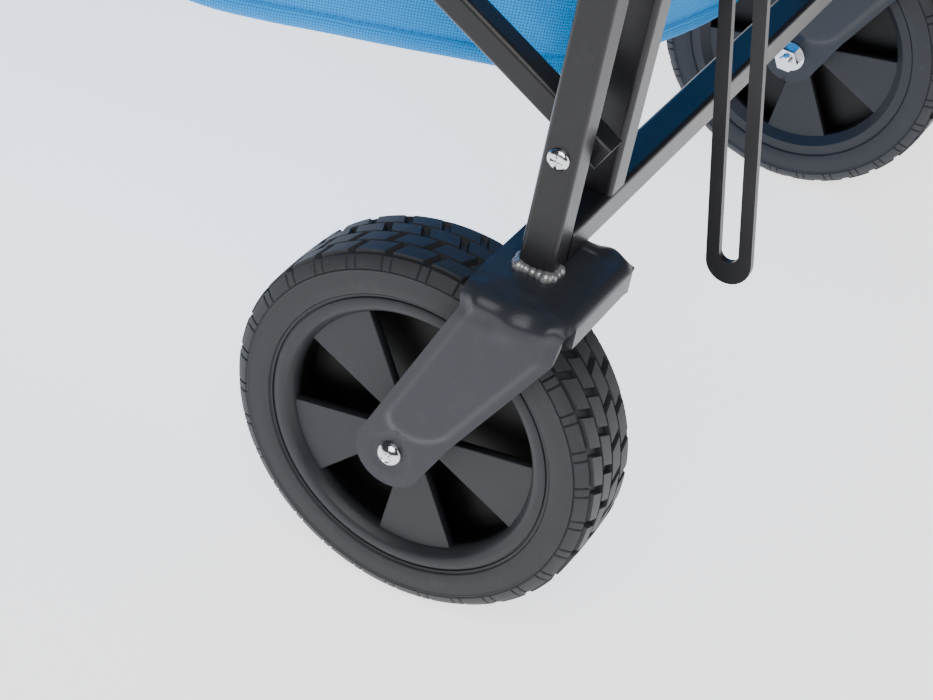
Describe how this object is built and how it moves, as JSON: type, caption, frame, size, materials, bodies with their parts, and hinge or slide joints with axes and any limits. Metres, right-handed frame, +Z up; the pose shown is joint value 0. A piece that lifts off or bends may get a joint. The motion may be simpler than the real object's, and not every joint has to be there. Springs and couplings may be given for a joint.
{
  "type": "beach cart",
  "caption": "Folding four-wheel beach cart with a blue fabric tub, square-tube end frames, scissor side bars, treaded wheels, swivel front casters and a telescopic pull handle.",
  "frame": {"origin": "on the floor under the centre of the overall box", "axes": "+X to the rear end with the fixed wheels, -X to the handle, +Y to the right, +Z up"},
  "size_m": [0.795, 0.5512, 0.643],
  "materials": {
    "tyre": "matte moulded",
    "rim": "satin moulded",
    "zinc": "bright zinc plate",
    "tub_fabric": "woven oxford cloth",
    "mat": "cloth-covered board",
    "fork_steel": "charcoal powder coat",
    "frame_steel": "black powder coat",
    "link_steel": "black powder coat",
    "black_plastic": "fine matte"
  },
  "bodies": {
    "rear_frame": {"floor_mat": "mat", "lock_link_bracket": "link_steel", "rear_axle_bolts": "zinc", "rear_crossbar": "frame_steel", "rear_fork_left": "fork_steel", "rear_fork_right": "fork_steel", "rear_mid_rail": "frame_steel", "rear_nuts_and_washers": "zinc", "rear_pivot_bolts": "zinc", "rear_post_caps": "black_plastic", "rear_post_left": "frame_steel", "rear_post_right": "frame_steel", "rear_top_rail": "frame_steel", "rear_upright_left": "frame_steel", "rear_upright_right": "frame_steel", "tub": "tub_fabric"},
    "outer_bars_rear": {"outer_bar_rear_left": "frame_steel", "outer_bar_rear_right": "frame_steel", "outer_bar_caps_rear": "black_plastic", "bar_pins_rear": "zinc"},
    "inner_bars_rear": {"inner_bar_rear_left": "frame_steel", "inner_bar_rear_right": "frame_steel", "inner_bar_caps_rear": "black_plastic"},
    "outer_bars_front": {"outer_bar_front_left": "frame_steel", "outer_bar_front_right": "frame_steel", "outer_bar_caps_front": "black_plastic", "bar_pins_front": "zinc"},
    "inner_bars_front": {"inner_bar_front_left": "frame_steel", "inner_bar_front_right": "frame_steel", "inner_bar_caps_front": "black_plastic"},
    "rear_slider": {"rear_sliders": "black_plastic", "rear_slider_pins": "zinc"},
    "front_slider": {"front_sliders": "black_plastic", "front_slider_pins": "zinc"},
    "front_frame": {"front_post_left": "frame_steel", "front_post_right": "frame_steel", "front_crossbar": "frame_steel", "front_top_rail": "frame_steel", "front_post_caps": "black_plastic", "front_pivot_bolts": "zinc", "swivel_housings": "frame_steel", "handle_bracket": "frame_steel"},
    "handle": {"handle_tube": "frame_steel", "handle_collar": "black_plastic"},
    "handle_top": {"handle_inner_tube": "frame_steel", "handle_grip": "black_plastic"},
    "lock_link": {"lock_link": "link_steel"},
    "rear_wheel_left": {"rear_tyre_left": "tyre", "rear_rim_left": "rim"},
    "front_wheel_left": {"front_tyre_left": "tyre", "front_rim_left": "rim"},
    "caster_left": {"caster_fork_left": "fork_steel", "caster_fasteners_left": "zinc"},
    "rear_wheel_right": {"rear_tyre_right": "tyre", "rear_rim_right": "rim"},
    "front_wheel_right": {"front_tyre_right": "tyre", "front_rim_right": "rim"},
    "caster_right": {"caster_fork_right": "fork_steel", "caster_fasteners_right": "zinc"}
  },
  "joints": [
    {"name": "fold", "type": "hinge", "parent": "rear_frame", "child": "outer_bars_rear", "pos_m": [0.33049, 0, 0.2455], "axis": [0, 1, 0], "range_deg": [0, 42.6], "deforming": ["tub", "floor_mat"]},
    {"name": "rear_cross", "type": "hinge", "parent": "outer_bars_rear", "child": "inner_bars_rear", "pos_m": [0.16049, 0, 0.33175], "axis": [0, 1, 0], "range_deg": [-86.2, 1]},
    {"name": "rear_slider_turn", "type": "hinge", "parent": "inner_bars_rear", "child": "rear_slider", "pos_m": [0.33049, 0, 0.41799], "axis": [0, 1, 0], "range_deg": [-1, 43.6]},
    {"name": "high_hub", "type": "hinge", "parent": "outer_bars_rear", "child": "inner_bars_front", "pos_m": [-0.00951, 0, 0.41799], "axis": [0, 1, 0], "range_deg": [-86.2, 1]},
    {"name": "front_cross", "type": "hinge", "parent": "inner_bars_front", "child": "outer_bars_front", "pos_m": [-0.17951, 0, 0.33175], "axis": [0, 1, 0], "range_deg": [-1, 86.2]},
    {"name": "front_slider_turn", "type": "hinge", "parent": "outer_bars_front", "child": "front_slider", "pos_m": [-0.34951, 0, 0.41799], "axis": [0, 1, 0], "range_deg": [-43.6, 1]},
    {"name": "front_post_pivot", "type": "hinge", "parent": "inner_bars_front", "child": "front_frame", "pos_m": [-0.34951, 0, 0.2455], "axis": [0, 1, 0], "range_deg": [-1, 43.6]},
    {"name": "rear_wheel_left_spin", "type": "hinge", "parent": "rear_frame", "child": "rear_wheel_left", "pos_m": [0.29519, -0.237, 0.09], "axis": [0, 1, 0], "continuous": true},
    {"name": "rear_wheel_right_spin", "type": "hinge", "parent": "rear_frame", "child": "rear_wheel_right", "pos_m": [0.29519, 0.237, 0.09], "axis": [0, 1, 0], "continuous": true},
    {"name": "caster_left_swivel", "type": "hinge", "parent": "front_frame", "child": "caster_left", "pos_m": [-0.34951, -0.237, 0.16], "axis": [0, 0, 1], "continuous": true},
    {"name": "caster_right_swivel", "type": "hinge", "parent": "front_frame", "child": "caster_right", "pos_m": [-0.34951, 0.237, 0.16], "axis": [0, 0, 1], "continuous": true},
    {"name": "front_wheel_left_spin", "type": "hinge", "parent": "caster_left", "child": "front_wheel_left", "pos_m": [-0.31751, -0.237, 0.075], "axis": [0, 1, 0], "continuous": true},
    {"name": "front_wheel_right_spin", "type": "hinge", "parent": "caster_right", "child": "front_wheel_right", "pos_m": [-0.31751, 0.237, 0.075], "axis": [0, 1, 0], "continuous": true},
    {"name": "handle_tilt", "type": "hinge", "parent": "front_frame", "child": "handle", "pos_m": [-0.38351, 0, 0.198], "axis": [0, 1, 0], "range_deg": [-95, 0]},
    {"name": "handle_extend", "type": "slide", "parent": "handle", "child": "handle_top", "axis": [0, 0, 1], "range_m": [0, 0.23]},
    {"name": "lock_link_swing", "type": "hinge", "parent": "rear_frame", "child": "lock_link", "pos_m": [0.35349, -0.16, 0.336], "axis": [0, 1, 0], "range_deg": [-70, 8]}
  ],
  "couplings": [
    {"joint": "rear_cross", "follows": "fold", "ratio": -2},
    {"joint": "rear_slider_turn", "follows": "fold", "ratio": 1},
    {"joint": "high_hub", "follows": "fold", "ratio": -2},
    {"joint": "front_cross", "follows": "fold", "ratio": 2},
    {"joint": "front_slider_turn", "follows": "fold", "ratio": -1},
    {"joint": "front_post_pivot", "follows": "fold", "ratio": 1}
  ]
}
